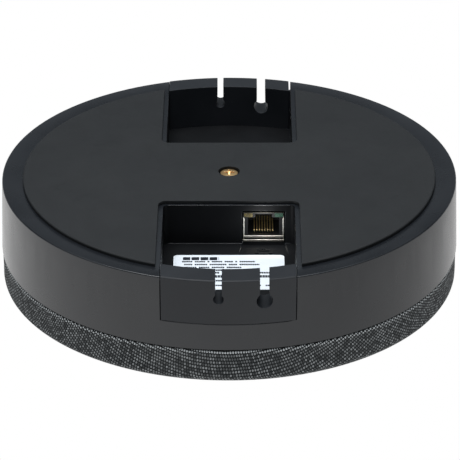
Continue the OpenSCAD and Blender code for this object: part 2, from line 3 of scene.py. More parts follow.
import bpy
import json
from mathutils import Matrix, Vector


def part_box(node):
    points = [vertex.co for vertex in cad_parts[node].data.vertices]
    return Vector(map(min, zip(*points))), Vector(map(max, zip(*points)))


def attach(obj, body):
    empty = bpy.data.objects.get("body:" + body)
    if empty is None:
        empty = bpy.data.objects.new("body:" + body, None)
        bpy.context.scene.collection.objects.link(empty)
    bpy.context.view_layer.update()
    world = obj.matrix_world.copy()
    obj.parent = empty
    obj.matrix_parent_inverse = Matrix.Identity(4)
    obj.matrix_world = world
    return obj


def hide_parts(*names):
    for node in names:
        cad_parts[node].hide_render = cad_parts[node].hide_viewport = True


bl_info = {
    "name": "Round table microphone",
    "version": (1, 0, 0),
    "blender": (4, 5, 0),
    "location": "3D View > Sidebar > Microphone",
    "description": "Builds the housing, pad, doors, jack, label and fabric of a round table microphone",
    "category": "Object",
}

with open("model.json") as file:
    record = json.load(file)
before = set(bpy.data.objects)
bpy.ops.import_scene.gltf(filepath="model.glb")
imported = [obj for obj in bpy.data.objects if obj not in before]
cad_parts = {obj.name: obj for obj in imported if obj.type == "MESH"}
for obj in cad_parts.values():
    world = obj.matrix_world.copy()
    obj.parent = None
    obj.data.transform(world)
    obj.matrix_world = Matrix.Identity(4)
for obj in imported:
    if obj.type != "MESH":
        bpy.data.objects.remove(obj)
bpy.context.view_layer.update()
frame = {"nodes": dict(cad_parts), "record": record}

import json
import math

import bmesh
import bpy
from bpy.props import FloatProperty, FloatVectorProperty, IntProperty, PointerProperty
from mathutils import Matrix, Quaternion, Vector

MM = 0.001


# ---------------------------------------------------------------- places taken from the frame

def corners(node):
    """Lowest and highest corner of a CAD node, as two vectors."""
    low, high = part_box(node)
    return Vector(low), Vector(high)


_, SHELL_HIGH = corners("base_shell")
PAD_LOW, PAD_HIGH = corners("rubber_pad")
_, DOOR_HIGH = corners("cable_door_front")
LABEL_LOW, LABEL_HIGH = corners("rating_label")
COVER_LOW, COVER_HIGH = corners("fabric_cover")
_, FRAME_HIGH = corners("grille_frame")
_, RING_HIGH = corners("light_ring")
SCREW_LOW, SCREW_HIGH = corners("centre_screw")
JACK_LOW, JACK_HIGH = corners("jack_shell")


# ---------------------------------------------------------------- sizes and colours to change

class HousingSettings(bpy.types.PropertyGroup):
    """Moulded housing, doors and pad"""

    edge_round: FloatProperty(
        name="Edge rounding", description="Radius on the housing's moulded edges",
        default=0.24 * MM, min=0.05 * MM, max=0.6 * MM, unit="LENGTH", precision=5)
    door_edge_round: FloatProperty(
        name="Door edge rounding", description="Radius on the edges of the cable doors",
        default=0.12 * MM, min=0.05 * MM, max=0.5 * MM, unit="LENGTH", precision=5)
    plastic_colour: FloatVectorProperty(
        name="Plastic", description="Colour of the moulded plastic",
        default=(0.0068, 0.0082, 0.0105, 1), size=4, min=0, max=1, subtype="COLOR")
    rubber_colour: FloatVectorProperty(
        name="Rubber", description="Colour of the pad's rubber",
        default=(0.0095, 0.0108, 0.0118, 1), size=4, min=0, max=1, subtype="COLOR")


class FabricSettings(bpy.types.PropertyGroup):
    """Woven cover over the grille"""

    thread_pitch: FloatProperty(
        name="Thread pitch", description="Distance from one light stitch to the next",
        default=1.08 * MM, min=0.5 * MM, max=3 * MM, unit="LENGTH", precision=5)
    steps: IntProperty(
        name="Steps", description="Steps round the cloth", default=360, min=90, max=720)
    yarn_colour: FloatVectorProperty(
        name="Ground yarn", description="Colour of the dark ground yarn",
        default=(0.0075, 0.009, 0.010, 1), size=4, min=0, max=1, subtype="COLOR")
    fleck_colour: FloatVectorProperty(
        name="Light yarn", description="Colour of the light stitches",
        default=(0.27, 0.285, 0.29, 1), size=4, min=0, max=1, subtype="COLOR")


class LabelSettings(bpy.types.PropertyGroup):
    """Printed film in the front pocket"""

    film_colour: FloatVectorProperty(
        name="Film", description="Colour of the label film",
        default=(0.74, 0.79, 0.84, 1), size=4, min=0, max=1, subtype="COLOR")
    print_colour: FloatVectorProperty(
        name="Print", description="Colour of the printed marks",
        default=(0.012, 0.015, 0.022, 1), size=4, min=0, max=1, subtype="COLOR")


class StageSettings(bpy.types.PropertyGroup):
    """Backdrop, light and camera"""

    backdrop: FloatProperty(
        name="Backdrop", description="Brightness of the backdrop as the camera sees it",
        default=1.0, min=0, max=2)
    fill: FloatProperty(
        name="Fill", description="Brightness of the surroundings as the object sees them",
        default=0.9, min=0, max=3)
    dark_band: FloatProperty(
        name="Dark band", description="Brightness of the unlit band between the table and the light above",
        default=0.07, min=0, max=3)
    lens: FloatProperty(
        name="Lens", description="Focal length of the camera", default=223.71, min=20, max=400,
        subtype="DISTANCE_CAMERA")


def settings():
    """The four groups of settings on the scene."""
    scene = bpy.context.scene
    return scene.microphone_housing, scene.microphone_fabric, scene.microphone_label, scene.microphone_stage


# ---------------------------------------------------------------- shader node groups

VECTOR, FLOAT = "NodeSocketVector", "NodeSocketFloat"


def start_group(name, inputs, outputs):
    """A new shader node group with named sockets, its input node and its output node."""
    tree = bpy.data.node_groups.new(name, "ShaderNodeTree")
    for label, kind, value in inputs:
        made = tree.interface.new_socket(name=label, in_out="INPUT", socket_type=kind)
        if value is not None:
            made.default_value = value
    for label, kind in outputs:
        tree.interface.new_socket(name=label, in_out="OUTPUT", socket_type=kind)
    into = tree.nodes.new("NodeGroupInput")
    out = tree.nodes.new("NodeGroupOutput")
    into.location, out.location = (-900, 0), (900, 0)
    return tree, into, out


def plug(tree, value, socket):
    """Joins an output to a socket, or sets the socket when value is a number or a vector."""
    if isinstance(value, bpy.types.NodeSocket):
        tree.links.new(value, socket)
    elif value is not None:
        socket.default_value = value


def math_node(tree, operation, *values, clamp=False):
    """A Math node's output."""
    made = tree.nodes.new("ShaderNodeMath")
    made.operation, made.use_clamp = operation, clamp
    for socket, value in zip(made.inputs, values):
        plug(tree, value, socket)
    return made.outputs[0]


def times(tree, a, b, clamp=False):
    """The product of two values."""
    return math_node(tree, "MULTIPLY", a, b, clamp=clamp)


def plus(tree, a, b, clamp=False):
    """The sum of two values."""
    return math_node(tree, "ADD", a, b, clamp=clamp)


def vector_node(tree, operation, a, b=None, scale=None):
    """A Vector Math node's output."""
    made = tree.nodes.new("ShaderNodeVectorMath")
    made.operation = operation
    plug(tree, a, made.inputs[0])
    plug(tree, b, made.inputs[1])
    if scale is not None:
        plug(tree, scale, made.inputs["Scale"])
    return made.outputs[0]


def split_node(tree, value):
    """A Separate XYZ node's outputs."""
    made = tree.nodes.new("ShaderNodeSeparateXYZ")
    plug(tree, value, made.inputs[0])
    return made.outputs


def chance_node(tree, column, row):
    """A random number from 0 to 1 for each cell of a grid."""
    cell = tree.nodes.new("ShaderNodeCombineXYZ")
    plug(tree, column, cell.inputs[0])
    plug(tree, row, cell.inputs[1])
    made = tree.nodes.new("ShaderNodeTexWhiteNoise")
    made.noise_dimensions = "2D"
    plug(tree, cell.outputs[0], made.inputs["Vector"])
    return made.outputs["Value"]


def cell_node(tree, place, scale):
    """The distance to the middle of the nearest Voronoi cell."""
    made = tree.nodes.new("ShaderNodeTexVoronoi")
    plug(tree, place, made.inputs["Vector"])
    plug(tree, scale, made.inputs["Scale"])
    return made.outputs["Distance"]


def noise_node(tree, place, scale, detail=2.0, rough=0.5):
    """A Noise Texture's factor."""
    made = tree.nodes.new("ShaderNodeTexNoise")
    plug(tree, place, made.inputs["Vector"])
    plug(tree, scale, made.inputs["Scale"])
    made.inputs["Detail"].default_value = detail
    made.inputs["Roughness"].default_value = rough
    return made.outputs[0]


def range_node(tree, value, low, high, to_low=0.0, to_high=1.0, smooth=False):
    """A Map Range node's output, clamped."""
    made = tree.nodes.new("ShaderNodeMapRange")
    made.interpolation_type = "SMOOTHSTEP" if smooth else "LINEAR"
    made.clamp = True
    entries = {"Value": value, "From Min": low, "From Max": high, "To Min": to_low, "To Max": to_high}
    for name, entry in entries.items():
        plug(tree, entry, made.inputs[name])
    return made.outputs[0]


def colour_mix(tree, share, a, b):
    """A colour Mix node's output, by socket number."""
    made = tree.nodes.new("ShaderNodeMix")
    made.data_type, made.blend_type, made.clamp_factor = "RGBA", "MIX", True
    plug(tree, share, made.inputs[0])
    plug(tree, a, made.inputs[6])
    plug(tree, b, made.inputs[7])
    return made.outputs[2]


def grain_group():
    """Spark-eroded mould grain: fine pits and a slow mottle."""
    tree, into, out = start_group(
        "Moulded grain",
        [("Place", VECTOR, None), ("Fineness", FLOAT, 2600.0), ("Mottle", FLOAT, 45.0)],
        [("Height", FLOAT), ("Mottle", FLOAT)])
    place, fine = into.outputs["Place"], into.outputs["Fineness"]
    pits = noise_node(tree, place, fine, 3.0, 0.6)
    bowls = range_node(tree, cell_node(tree, place, times(tree, fine, 0.6)), 0.0, 0.55)
    height = plus(tree, times(tree, pits, 0.55), times(tree, bowls, 0.45))
    slow = noise_node(tree, place, into.outputs["Mottle"], 4.0, 0.55)
    plug(tree, height, out.inputs["Height"])
    plug(tree, range_node(tree, slow, 0.3, 0.7), out.inputs["Mottle"])
    return tree


def wear_and_highlight_group():
    """Rubbed edges, partly a painted highlight: convex edges, broken up."""
    tree, into, out = start_group(
        "Edge wear and highlight",
        [("Place", VECTOR, None), ("Amount", FLOAT, 0.5)],
        [("Mask", FLOAT)])
    geometry = tree.nodes.new("ShaderNodeNewGeometry")
    edge = range_node(tree, geometry.outputs["Pointiness"], 0.52, 0.62, smooth=True)
    broken = range_node(tree, noise_node(tree, into.outputs["Place"], 900.0, 3.0, 0.6), 0.35, 0.65)
    mask = times(tree, edge, broken)
    plug(tree, times(tree, mask, into.outputs["Amount"], clamp=True), out.inputs["Mask"])
    return tree


def dust_group():
    """Fine settled dust: sparse specks and a thin veil."""
    tree, into, out = start_group(
        "Settled dust",
        [("Place", VECTOR, None), ("Amount", FLOAT, 0.3)],
        [("Mask", FLOAT)])
    place = into.outputs["Place"]
    specks = range_node(tree, cell_node(tree, place, 420.0), 0.11, 0.05)
    chosen = range_node(tree, noise_node(tree, place, 160.0, 1.0), 0.56, 0.6)
    veil = range_node(tree, noise_node(tree, place, 30.0, 5.0, 0.6), 0.4, 0.75, 0.0, 0.35)
    total = plus(tree, times(tree, specks, chosen), veil)
    plug(tree, times(tree, total, into.outputs["Amount"], clamp=True), out.inputs["Mask"])
    return tree


def drawn_group():
    """Lines left by rolling or turning metal, along the first axis."""
    tree, into, out = start_group(
        "Drawn lines",
        [("Place", VECTOR, None), ("Fineness", FLOAT, 9000.0)],
        [("Height", FLOAT), ("Tone", FLOAT)])
    narrow = vector_node(tree, "MULTIPLY", into.outputs["Place"], (0.02, 1.0, 1.0))
    lines = noise_node(tree, narrow, into.outputs["Fineness"], 2.0, 0.6)
    stains = noise_node(tree, into.outputs["Place"], 260.0, 3.0, 0.6)
    plug(tree, lines, out.inputs["Height"])
    tone = plus(tree, times(tree, lines, 0.5), times(tree, stains, 0.5))
    plug(tree, range_node(tree, tone, 0.3, 0.7), out.inputs["Tone"])
    return tree


def weave_group():
    """Piece-dyed speaker cloth on a flat map in metres: dark ground with rows of light stitches."""
    tree, into, out = start_group(
        "Speaker cloth",
        [("Map", VECTOR, None), ("Pitch", FLOAT, 0.00108), ("Hem", FLOAT, 0.1)],
        [("Height", FLOAT), ("Stitch", FLOAT), ("Ground", FLOAT),
         ("Hem Row", FLOAT)])
    density = math_node(tree, "DIVIDE", 1.0, into.outputs["Pitch"])
    scaled = vector_node(tree, "SCALE", into.outputs["Map"], scale=density)
    warp = tree.nodes.new("ShaderNodeTexNoise")
    plug(tree, into.outputs["Map"], warp.inputs["Vector"])
    warp.inputs["Scale"].default_value = 70.0
    swing = vector_node(tree, "SUBTRACT", warp.outputs["Color"], (0.5, 0.5, 0.5))
    drift = vector_node(tree, "SCALE", swing, scale=1.6)
    shifted = vector_node(tree, "ADD", scaled, drift)
    parts = split_node(tree, shifted)
    row_place = math_node(tree, "DIVIDE", parts["Y"], 1.27)
    row = math_node(tree, "FLOOR", row_place)
    across = plus(tree, parts["X"], times(tree, row, 0.28))
    column = math_node(tree, "FLOOR", across)
    in_x = math_node(tree, "FRACT", across)
    in_y = math_node(tree, "FRACT", row_place)
    arch_x = math_node(tree, "SINE", times(tree, in_x, math.pi))
    arch_y = math_node(tree, "SINE", times(tree, in_y, math.pi))
    mound = times(tree, arch_x, arch_y)
    strength = range_node(tree, chance_node(tree, column, row), 0.05, 0.95, 0.15, 1.0)
    patches = range_node(tree, noise_node(tree, into.outputs["Map"], 130.0, 3.0, 0.6), 0.36, 0.6, 0.7, 1.0)
    bright = times(tree, strength, patches)
    dots = range_node(tree, mound, 0.3, 0.72, smooth=True)
    plug(tree, times(tree, dots, bright, clamp=True), out.inputs["Stitch"])
    reach = tree.nodes.new("ShaderNodeVectorMath")
    reach.operation = "LENGTH"
    plug(tree, into.outputs["Map"], reach.inputs[0])
    last_row = math_node(tree, "GREATER_THAN", reach.outputs["Value"], into.outputs["Hem"])
    plug(tree, times(tree, last_row, dots), out.inputs["Hem Row"])
    double_density = math_node(tree, "DIVIDE", 2.0, into.outputs["Pitch"])
    fine = vector_node(tree, "SCALE", into.outputs["Map"], scale=double_density)
    fibres = noise_node(tree, fine, 2.4, 4.0, 0.7)
    plug(tree, plus(tree, times(tree, mound, 0.7), times(tree, fibres, 0.3)), out.inputs["Height"])
    plug(tree, range_node(tree, fibres, 0.3, 0.7), out.inputs["Ground"])
    return tree


def print_group():
    """One line of plain printed dashes on a map that runs from 0 to 1 each way."""
    tree, into, out = start_group(
        "Printed dashes",
        [("Map", VECTOR, None), ("Line", FLOAT, 0.2), ("Half Height", FLOAT, 0.02),
         ("Start", FLOAT, 0.1), ("End", FLOAT, 0.6), ("Dashes", FLOAT, 20.0)],
        [("Mask", FLOAT)])
    u, v, _ = split_node(tree, into.outputs["Map"])
    away = math_node(tree, "ABSOLUTE", math_node(tree, "SUBTRACT", v, into.outputs["Line"]))
    inside = math_node(tree, "LESS_THAN", away, into.outputs["Half Height"])
    after = math_node(tree, "GREATER_THAN", u, into.outputs["Start"])
    before = math_node(tree, "LESS_THAN", u, into.outputs["End"])
    along = times(tree, u, into.outputs["Dashes"])
    chance = chance_node(tree, math_node(tree, "FLOOR", along), into.outputs["Line"])
    kept = math_node(tree, "GREATER_THAN", chance, 0.15)
    gap = math_node(tree, "LESS_THAN", math_node(tree, "FRACT", along), 0.86)
    mask = inside
    for share in (after, before, kept, gap):
        mask = times(tree, mask, share)
    plug(tree, mask, out.inputs["Mask"])
    return tree


SHARED_GROUPS = {
    "Moulded grain": grain_group,
    "Edge wear and highlight": wear_and_highlight_group,
    "Settled dust": dust_group,
    "Drawn lines": drawn_group,
    "Speaker cloth": weave_group,
    "Printed dashes": print_group,
}


def shared_group(name):
    """The node group of that name, made the first time that it is asked for."""
    return bpy.data.node_groups.get(name) or SHARED_GROUPS[name]()


# ---------------------------------------------------------------- materials

def start_material(name):
    """A new material, its tree, its Principled shader and its Object coordinates."""
    material = bpy.data.materials.new(name)
    material.use_nodes = True
    tree = material.node_tree
    shader = tree.nodes["Principled BSDF"]
    place = tree.nodes.new("ShaderNodeTexCoord").outputs["Object"]
    return material, tree, shader, place


def use_group(tree, name, **values):
    """A node group placed in a material, with its inputs joined or set."""
    made = tree.nodes.new("ShaderNodeGroup")
    made.node_tree = shared_group(name)
    for key, value in values.items():
        plug(tree, value, made.inputs[key.replace("_", " ")])
    return made


def add_bump(tree, shader, height, strength, distance, under=None):
    """A Bump node on the shader, over another bump when one is given."""
    bump = tree.nodes.new("ShaderNodeBump")
    bump.inputs["Strength"].default_value = strength
    bump.inputs["Distance"].default_value = distance
    plug(tree, height, bump.inputs["Height"])
    if under is not None:
        plug(tree, under, bump.inputs["Normal"])
    plug(tree, bump.outputs[0], shader.inputs["Normal"])
    return bump.outputs[0]


def vary_roughness(tree, shader, mask, low, high):
    """Roughness that follows a mask between two values."""
    plug(tree, range_node(tree, mask, 0.0, 1.0, low, high), shader.inputs["Roughness"])


def shade(colour, factor):
    """The colour made lighter or darker."""
    return (*(min(1.0, part * factor) for part in colour[:3]), 1.0)


def moulded(name, colour, rough, fineness, depth, mottle, wear, dust, specular=0.5):
    """Moulded plastic or rubber: grain, mottle, lighter edges that are partly rubbing and partly a painted
    highlight, and a little dust.
    """
    material, tree, shader, place = start_material(name)
    grain = use_group(tree, "Moulded grain", Place=place, Fineness=fineness, Mottle=mottle)
    wear_and_highlight = use_group(tree, "Edge wear and highlight", Place=place, Amount=wear)
    dirt = use_group(tree, "Settled dust", Place=place, Amount=dust)
    base = colour_mix(tree, grain.outputs["Mottle"], shade(colour, 0.86), shade(colour, 1.12))
    # lighter convex edges: partly rubbing, partly a painted highlight such as the housing rim's bright edge
    # line
    base = colour_mix(tree, wear_and_highlight.outputs["Mask"], base, shade(colour, 2.4))
    base = colour_mix(tree, dirt.outputs["Mask"], base, (0.33, 0.33, 0.32, 1))
    plug(tree, base, shader.inputs["Base Color"])
    roughness = range_node(tree, grain.outputs["Mottle"], 0.0, 1.0, rough * 0.9, min(1.0, rough * 1.12))
    roughness = plus(tree, roughness, times(tree, dirt.outputs["Mask"], 0.4), clamp=True)
    plug(tree, roughness, shader.inputs["Roughness"])
    shader.inputs["Specular IOR Level"].default_value = specular
    add_bump(tree, shader, grain.outputs["Height"], 0.5, depth)
    return material


def metal(name, colour, rough, fineness, tarnish, tarnished, painted_shade_below=None):
    """Plated or drawn metal: fine lines, patchy tarnish and brighter edges, with painted shade below a given
    height.
    """
    material, tree, shader, place = start_material(name)
    lines = use_group(tree, "Drawn lines", Place=place, Fineness=fineness)
    wear_and_highlight = use_group(tree, "Edge wear and highlight", Place=place, Amount=0.6)
    grain = use_group(tree, "Moulded grain", Place=place, Fineness=1500.0, Mottle=600.0)
    stain = times(tree, grain.outputs["Mottle"], tarnished)
    base = colour_mix(tree, lines.outputs["Tone"], shade(colour, 0.86), colour)
    base = colour_mix(tree, stain, base, tarnish)
    base = colour_mix(tree, wear_and_highlight.outputs["Mask"], base, shade(colour, 1.2))
    if painted_shade_below is not None:
        # painted shade: below a ragged height the metal is darkened, standing in for shade and a dark
        # reflection
        ragged = times(tree, noise_node(tree, place, 1400.0, 2.0), 1.2 * MM)
        level = plus(tree, split_node(tree, place)["Z"], ragged)
        painted_shade = range_node(tree, level, painted_shade_below + 0.9 * MM, painted_shade_below + 0.4 * MM, smooth=True)
        base = colour_mix(tree, painted_shade, base, (0.03, 0.028, 0.024, 1))
    plug(tree, base, shader.inputs["Base Color"])
    vary_roughness(tree, shader, lines.outputs["Tone"], rough * 1.25, rough * 0.8)
    shader.inputs["Metallic"].default_value = 1.0
    add_bump(tree, shader, lines.outputs["Height"], 0.4, 0.004 * MM)
    return material


def board_laminate():
    """Solder-masked laminate with copper tracks under the mask."""
    material, tree, shader, place = start_material("board laminate")
    grid = tree.nodes.new("ShaderNodeTexBrick")
    plug(tree, place, grid.inputs["Vector"])
    grid.inputs["Scale"].default_value = 160.0
    grid.inputs["Mortar Size"].default_value = 0.035
    tracks = range_node(tree, grid.outputs["Fac"], 0.0, 1.0)
    grain = use_group(tree, "Moulded grain", Place=place, Fineness=1800.0, Mottle=120.0)
    base = colour_mix(tree, tracks, (0.012, 0.07, 0.03, 1), (0.03, 0.14, 0.06, 1))
    base = colour_mix(tree, grain.outputs["Mottle"], base, (0.02, 0.1, 0.045, 1))
    plug(tree, base, shader.inputs["Base Color"])
    vary_roughness(tree, shader, grain.outputs["Mottle"], 0.25, 0.4)
    add_bump(tree, shader, tracks, 0.3, 0.03 * MM)
    return material


def lamp_lens(name, colour, deep):
    """Small coloured lens: tinted plastic with a darker heart and a clear skin."""
    material, tree, shader, place = start_material(name)
    grain = use_group(tree, "Moulded grain", Place=place, Fineness=900.0, Mottle=500.0)
    base = colour_mix(tree, grain.outputs["Mottle"], deep, colour)
    plug(tree, base, shader.inputs["Base Color"])
    vary_roughness(tree, shader, grain.outputs["Mottle"], 0.18, 0.3)
    shader.inputs["Coat Weight"].default_value = 0.4
    shader.inputs["Subsurface Weight"].default_value = 0.15
    shader.inputs["Subsurface Radius"].default_value = (0.4 * MM, 0.4 * MM, 0.3 * MM)
    add_bump(tree, shader, grain.outputs["Height"], 0.15, 0.01 * MM)
    return material


def frosted_ring():
    """Milky diffuser of the light ring, unlit."""
    material, tree, shader, place = start_material("light diffuser")
    grain = use_group(tree, "Moulded grain", Place=place, Fineness=3200.0, Mottle=90.0)
    dirt = use_group(tree, "Settled dust", Place=place, Amount=0.2)
    base = colour_mix(tree, grain.outputs["Mottle"], (0.52, 0.54, 0.55, 1), (0.62, 0.64, 0.65, 1))
    base = colour_mix(tree, dirt.outputs["Mask"], base, (0.4, 0.4, 0.38, 1))
    plug(tree, base, shader.inputs["Base Color"])
    vary_roughness(tree, shader, grain.outputs["Mottle"], 0.38, 0.5)
    shader.inputs["Subsurface Weight"].default_value = 0.4
    shader.inputs["Subsurface Radius"].default_value = (1.2 * MM, 1.2 * MM, 1.3 * MM)
    add_bump(tree, shader, grain.outputs["Height"], 0.3, 0.01 * MM)
    return material


def cloth_corner():
    """Width, height and length of the rounded corner that the cloth is drawn over."""
    width, height = 7.6 * MM, 4.0 * MM
    return width, height, math.pi / 2 * math.sqrt((width ** 2 + height ** 2) / 2)


def cut_radius():
    """Radius of the flat round cut that covers the top, the corner and the side."""
    width, height, run = cloth_corner()
    return COVER_HIGH.x - width + run + COVER_HIGH.z - height - COVER_LOW.z


def cloth(fabric):
    """Speaker cloth on the cover's own map."""
    material, tree, shader, place = start_material("acoustic fabric")
    coords = tree.nodes.new("ShaderNodeUVMap")
    coords.uv_map = "cloth"
    weave = use_group(tree, "Speaker cloth", Map=coords.outputs["UV"], Pitch=fabric.thread_pitch,
                      Hem=cut_radius() - 1.3 * MM)
    dirt = use_group(tree, "Settled dust", Place=place, Amount=0.12)
    yarn = tuple(fabric.yarn_colour)
    ground = colour_mix(tree, weave.outputs["Ground"], shade(yarn, 0.5), shade(yarn, 1.7))
    base = colour_mix(tree, weave.outputs["Stitch"], ground, tuple(fabric.fleck_colour))
    base = colour_mix(tree, weave.outputs["Hem Row"], base, shade(fabric.fleck_colour, 1.6))
    base = colour_mix(tree, dirt.outputs["Mask"], base, (0.3, 0.3, 0.29, 1))
    plug(tree, base, shader.inputs["Base Color"])
    vary_roughness(tree, shader, weave.outputs["Ground"], 0.82, 0.98)
    shader.inputs["Specular IOR Level"].default_value = 0.12
    shader.inputs["Sheen Weight"].default_value = 0.03
    shader.inputs["Sheen Roughness"].default_value = 0.6
    add_bump(tree, shader, weave.outputs["Height"], 0.9, 0.22 * MM)
    return material


def printed_label(label):
    """Label film with lines of plain dashes and a plain panel."""
    material, tree, shader, place = start_material("label film")
    coords = tree.nodes.new("ShaderNodeUVMap")
    coords.uv_map = "print"
    # place down the label, half height, start, end and number of dashes across a full width
    lines = [
        (0.107, 0.045, 0.085, 0.410, 12.3),
        (0.195, 0.021, 0.078, 0.735, 52.0),
        (0.280, 0.021, 0.078, 0.775, 52.0),
        (0.365, 0.021, 0.078, 0.620, 52.0),
        (0.445, 0.024, 0.078, 0.520, 52.0),
        (0.520, 0.024, 0.078, 0.900, 48.0),
        (0.625, 0.036, 0.078, 0.880, 40.0),
        (0.750, 0.024, 0.078, 0.550, 52.0),
        (0.885, 0.020, 0.078, 0.900, 52.0),
    ]
    marks = None
    for line, half, start, end, dashes in lines:
        made = use_group(tree, "Printed dashes", Map=coords.outputs["UV"], Line=line, Half_Height=half,
                         Start=start, End=end, Dashes=dashes).outputs["Mask"]
        marks = made if marks is None else math_node(tree, "MAXIMUM", marks, made)
    grain = use_group(tree, "Moulded grain", Place=place, Fineness=2200.0, Mottle=150.0)
    film = tuple(label.film_colour)
    base = colour_mix(tree, grain.outputs["Mottle"], shade(film, 0.95), film)
    base = colour_mix(tree, marks, base, tuple(label.print_colour))
    plug(tree, base, shader.inputs["Base Color"])
    vary_roughness(tree, shader, grain.outputs["Mottle"], 0.35, 0.48)
    add_bump(tree, shader, grain.outputs["Height"], 0.15, 0.01 * MM)
    return material


FINISHES = {}


def finish_for(slot_name):
    """The finish of one of the record's slots, made the first time that it is asked for."""
    if slot_name not in FINISHES:
        FINISHES[slot_name] = make_finish(slot_name, slot_name.replace("_", " "))
    return FINISHES[slot_name]


def make_finish(slot_name, title):
    """A new finish for one of the record's slots, or for the doors, which get a lighter copy of the plastic,
    or for the pocket walls, whose darker copy of the plastic is painted shade.
    """
    housing, fabric, label, _ = settings()
    plastic, rubber = tuple(housing.plastic_colour), tuple(housing.rubber_colour)
    # colour, roughness, grain fineness, depth, mottle, edge wear with its painted highlight, dust and, where
    # it isn't 0.5, the specular level
    moulded_ones = {
        # the housing's edge wear also paints the rim's bright highlight line
        "housing_plastic": (plastic, 0.27, 2400.0, 0.008 * MM, 40.0, 0.16, 0.02),
        "pad_rubber": (rubber, 0.66, 1500.0, 0.04 * MM, 90.0, 0.1, 0.03, 0.3),
        "door": (shade(plastic, 1.3), 0.5, 2000.0, 0.03 * MM, 60.0, 0.1, 0.02, 0.34),
        # the pocket walls are the housing's own moulding; their darker copy of the plastic is painted shade
        # in the recess
        "pocket": (shade(plastic, 0.35), 0.6, 1800.0, 0.03 * MM, 60.0, 0.0, 0.005, 0.16),
        "black_plastic": ((0.005, 0.005, 0.0055, 1), 0.45, 3000.0, 0.012 * MM, 90.0, 0.1, 0.01, 0.3),
        "coil_tape": ((0.5, 0.35, 0.06, 1), 0.35, 1200.0, 0.02 * MM, 200.0, 0.3, 0.1),
        "ivory_plastic": ((0.62, 0.58, 0.46, 1), 0.45, 2600.0, 0.012 * MM, 120.0, 0.2, 0.1),
        "button_plastic": ((0.028, 0.029, 0.032, 1), 0.5, 3000.0, 0.012 * MM, 120.0, 0.5, 0.12),
        "boot_rubber": ((0.02, 0.02, 0.02, 1), 0.8, 1400.0, 0.04 * MM, 90.0, 0.3, 0.2),
        "lead_cover": ((0.3, 0.02, 0.02, 1), 0.4, 2000.0, 0.01 * MM, 200.0, 0.2, 0.1),
    }
    # colour, roughness, fineness of the lines, tarnish colour, its share and, for the jack, the height below
    # which shade is painted
    metals = {
        "screw_brass": ((0.92, 0.62, 0.29, 1), 0.34, 7000.0, (0.45, 0.22, 0.06, 1), 0.3),
        # the jack's metal is painted darker below its last entry's height, as shade
        "jack_metal": ((0.86, 0.81, 0.72, 1), 0.34, 8000.0, (0.5, 0.42, 0.3, 1), 0.3, JACK_LOW.z + 2.0 * MM),
        "contact_gold": ((0.98, 0.78, 0.42, 1), 0.42, 9000.0, (0.6, 0.4, 0.15, 1), 0.15),
        "bright_steel": ((0.62, 0.63, 0.64, 1), 0.26, 9000.0, (0.3, 0.27, 0.22, 1), 0.2),
        "can_aluminium": ((0.75, 0.76, 0.77, 1), 0.34, 6000.0, (0.5, 0.5, 0.48, 1), 0.2),
        "ballast_steel": ((0.38, 0.38, 0.39, 1), 0.45, 3000.0, (0.2, 0.13, 0.08, 1), 0.35),
    }
    lenses = {
        "lamp_yellow": ((0.13, 0.095, 0.012, 1), (0.05, 0.035, 0.004, 1)),
        "lamp_green": ((0.014, 0.075, 0.035, 1), (0.005, 0.03, 0.014, 1)),
        "lamp_clear": ((0.7, 0.72, 0.68, 1), (0.45, 0.45, 0.4, 1)),
    }
    for maker, table in ((moulded, moulded_ones), (metal, metals), (lamp_lens, lenses)):
        if slot_name in table:
            return maker(title, *table[slot_name])
    makers = {
        "label_film": lambda: printed_label(label),
        "board_laminate": board_laminate,
        "light_diffuser": frosted_ring,
        "acoustic_fabric": lambda: cloth(fabric),
    }
    return makers[slot_name]()


# ---------------------------------------------------------------- mesh helpers

def make_piece(name, bm, slot_name, body, *stands_for, smooth_angle=35.0, finish=None):
    """Turns a bmesh into a finished piece that rides on a body and stands for CAD nodes."""
    mesh = bpy.data.meshes.new(name)
    bm.to_mesh(mesh)
    bm.free()
    loose_normals = mesh.attributes.get("custom_normal")
    if loose_normals:
        mesh.attributes.remove(loose_normals)
    mesh.shade_smooth()
    mesh.set_sharp_from_angle(angle=math.radians(smooth_angle))
    piece = bpy.data.objects.new(name, mesh)
    bpy.context.scene.collection.objects.link(piece)
    mesh.materials.append(finish_for(finish or slot_name))
    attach(piece, body)
    if stands_for:
        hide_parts(*stands_for)
    return piece


def round_edges(piece, width, segments=2, by_weight=False, angle=40.0):
    """Rounds a piece's sharp edges with a Bevel modifier."""
    bevel = piece.modifiers.new("edge rounding", "BEVEL")
    bevel.width, bevel.segments, bevel.profile = width, segments, 0.5
    bevel.limit_method = "WEIGHT" if by_weight else "ANGLE"
    bevel.angle_limit = math.radians(angle)
    bevel.use_clamp_overlap = False
    bevel.harden_normals = True
    bevel.miter_outer = "MITER_ARC"
    bevel.material = 0


def rounded_copy(name, node, slot_name, body, width, segments, angle=40.0, smooth_angle=30.0, flat_angle=0.6):
    """A finished piece made from one CAD node, with its sharp edges rounded."""
    piece = make_piece(name, merged_copy(node, flat_angle), slot_name, body, node, smooth_angle=smooth_angle)
    round_edges(piece, width, segments, angle=angle)


def merged_copy(node, flat_angle=0.6):
    """A bmesh of a CAD node with its points merged and, unless the angle is 0, its flat faces made whole."""
    bm = bmesh.new()
    bm.from_mesh(frame["nodes"][node].data)
    bmesh.ops.remove_doubles(bm, verts=bm.verts, dist=0.002 * MM)
    if flat_angle:
        bmesh.ops.dissolve_limit(
            bm, angle_limit=math.radians(flat_angle), verts=bm.verts, edges=bm.edges,
            use_dissolve_boundaries=False, delimit=set())
    return bm


def weigh_edges(bm, wanted, angle=40.0):
    """Marks for rounding each sharp edge whose middle the test accepts."""
    layer = bm.edges.layers.float.new("bevel_weight_edge")
    for edge in bm.edges:
        if len(edge.link_faces) == 2 and edge.calc_face_angle(0.0) > math.radians(angle):
            middle = (edge.verts[0].co + edge.verts[1].co) / 2
            if wanted(middle, edge):
                edge[layer] = 1.0


